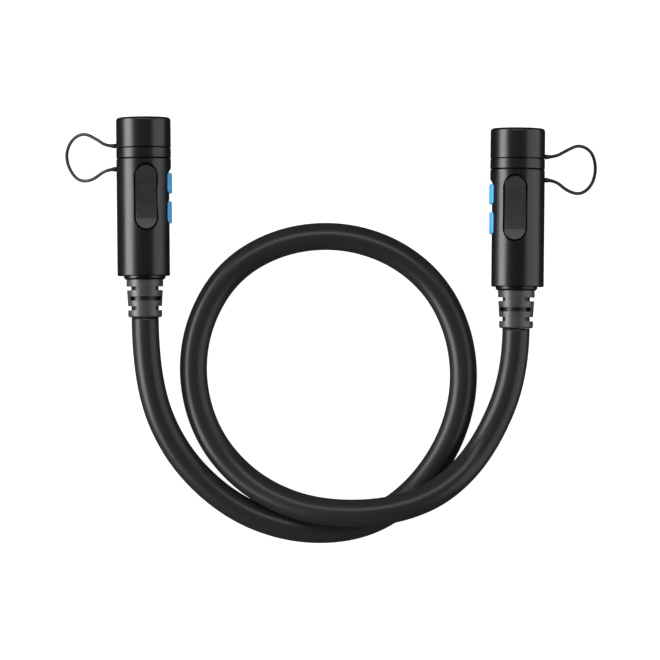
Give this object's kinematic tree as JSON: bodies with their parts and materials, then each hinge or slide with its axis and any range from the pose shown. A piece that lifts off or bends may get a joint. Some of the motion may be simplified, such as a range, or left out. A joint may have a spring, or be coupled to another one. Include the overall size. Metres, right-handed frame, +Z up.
{
  "type": "tethered-cap plug-to-plug power lead",
  "caption": "Short looped power lead with a round locking plug on each end, each with squeeze latches, side pads and a tethered dust cap.",
  "frame": {"origin": "on the surface the lead lies on, at the centre of the two plugs' footprint", "axes": "+X from the left plug to the right plug, +Y the way both noses point, +Z up"},
  "size_m": [0.3142, 0.25, 0.0338],
  "materials": {
    "shell_plastic": "fine satin black nylon",
    "button_plastic": "satin black nylon, ribbed",
    "nose_plastic": "satin black glass-filled nylon",
    "blue_plastic": "sky blue, satin to gloss",
    "cap_rubber": "satin black thermoplastic rubber",
    "cable_jacket": "black flexible cable jacket, semi-gloss",
    "seal_rubber": "dark grey silicone",
    "contact_brass": "plated contact brass",
    "spring_steel": "drawn spring steel",
    "lead_red": "red and black wire insulation, shown red",
    "lead_grey": "grey wire insulation"
  },
  "bodies": {
    "lead": {"body_shell_left": "shell_plastic", "body_shell_right": "shell_plastic", "cable": "cable_jacket", "cable_clamp_left": "nose_plastic", "cable_clamp_right": "nose_plastic", "cable_end_left": "cable_jacket", "cable_end_right": "cable_jacket", "cap_tether_left": "cap_rubber", "cap_tether_right": "cap_rubber", "clamp_screws_left": "spring_steel", "clamp_screws_right": "spring_steel", "contact_carrier_left": "nose_plastic", "contact_carrier_right": "nose_plastic", "front_collar_left": "shell_plastic", "front_collar_right": "shell_plastic", "gland_ring_left": "shell_plastic", "gland_ring_right": "shell_plastic", "latch_spring_lower_left": "spring_steel", "latch_spring_lower_right": "spring_steel", "latch_spring_upper_left": "spring_steel", "latch_spring_upper_right": "spring_steel", "nose_seal_left": "seal_rubber", "nose_seal_right": "seal_rubber", "nose_shell_left": "nose_plastic", "nose_shell_right": "nose_plastic", "pad_spring_front_left": "spring_steel", "pad_spring_front_right": "spring_steel", "pad_spring_rear_left": "spring_steel", "pad_spring_rear_right": "spring_steel", "power_contacts_left": "contact_brass", "power_contacts_right": "contact_brass", "power_leads_left": "lead_red", "power_leads_right": "lead_red", "signal_contacts_left": "contact_brass", "signal_contacts_right": "contact_brass", "signal_leads_left": "lead_grey", "signal_leads_right": "lead_grey", "spring_frame_left": "nose_plastic", "spring_frame_right": "nose_plastic", "strain_relief_boot_left": "cap_rubber", "strain_relief_boot_right": "cap_rubber", "tether_anchor_left": "cap_rubber", "tether_anchor_right": "cap_rubber"},
    "cap_left": {"cap_seal_left": "seal_rubber", "dust_cap_left": "cap_rubber"},
    "cap_right": {"cap_seal_right": "seal_rubber", "dust_cap_right": "cap_rubber"},
    "latch_lower_left": {"latch_button_lower_left": "button_plastic"},
    "latch_lower_right": {"latch_button_lower_right": "button_plastic"},
    "latch_upper_left": {"latch_button_upper_left": "button_plastic"},
    "latch_upper_right": {"latch_button_upper_right": "button_plastic"},
    "pad_front_left": {"push_pad_front_left": "blue_plastic"},
    "pad_front_right": {"push_pad_front_right": "blue_plastic"},
    "pad_rear_left": {"push_pad_rear_left": "blue_plastic"},
    "pad_rear_right": {"push_pad_rear_right": "blue_plastic"}
  },
  "joints": [
    {"name": "cap_pull_left", "type": "slide", "parent": "lead", "child": "cap_left", "axis": [-0.0098, 1, 0], "range_m": [0, 0.02]},
    {"name": "latch_press_upper_left", "type": "slide", "parent": "lead", "child": "latch_upper_left", "axis": [-0.1374, -0.0013, -0.9905], "range_m": [0, 0.0016], "stiffness_N_per_m": 2500, "springref_m": -0.001, "deforming": ["latch_spring_upper_left"]},
    {"name": "latch_press_lower_left", "type": "slide", "parent": "lead", "child": "latch_lower_left", "axis": [0.1374, 0.0013, 0.9905], "range_m": [0, 0.0016], "stiffness_N_per_m": 2500, "springref_m": -0.001, "deforming": ["latch_spring_lower_left"]},
    {"name": "pad_press_front_left", "type": "slide", "parent": "lead", "child": "pad_front_left", "axis": [-0.9905, -0.0097, 0.1374], "range_m": [0, 0.0008], "stiffness_N_per_m": 1500, "springref_m": -0.001, "deforming": ["pad_spring_front_left"]},
    {"name": "pad_press_rear_left", "type": "slide", "parent": "lead", "child": "pad_rear_left", "axis": [-0.9905, -0.0097, 0.1374], "range_m": [0, 0.0008], "stiffness_N_per_m": 1500, "springref_m": -0.001, "deforming": ["pad_spring_rear_left"]},
    {"name": "cap_pull_right", "type": "slide", "parent": "lead", "child": "cap_right", "axis": [0.0098, 1, 0], "range_m": [0, 0.02]},
    {"name": "latch_press_upper_right", "type": "slide", "parent": "lead", "child": "latch_upper_right", "axis": [0.1374, -0.0013, -0.9905], "range_m": [0, 0.0016], "stiffness_N_per_m": 2500, "springref_m": -0.001, "deforming": ["latch_spring_upper_right"]},
    {"name": "latch_press_lower_right", "type": "slide", "parent": "lead", "child": "latch_lower_right", "axis": [-0.1374, 0.0013, 0.9905], "range_m": [0, 0.0016], "stiffness_N_per_m": 2500, "springref_m": -0.001, "deforming": ["latch_spring_lower_right"]},
    {"name": "pad_press_front_right", "type": "slide", "parent": "lead", "child": "pad_front_right", "axis": [0.9905, -0.0097, 0.1374], "range_m": [0, 0.0008], "stiffness_N_per_m": 1500, "springref_m": -0.001, "deforming": ["pad_spring_front_right"]},
    {"name": "pad_press_rear_right", "type": "slide", "parent": "lead", "child": "pad_rear_right", "axis": [0.9905, -0.0097, 0.1374], "range_m": [0, 0.0008], "stiffness_N_per_m": 1500, "springref_m": -0.001, "deforming": ["pad_spring_rear_right"]}
  ]
}
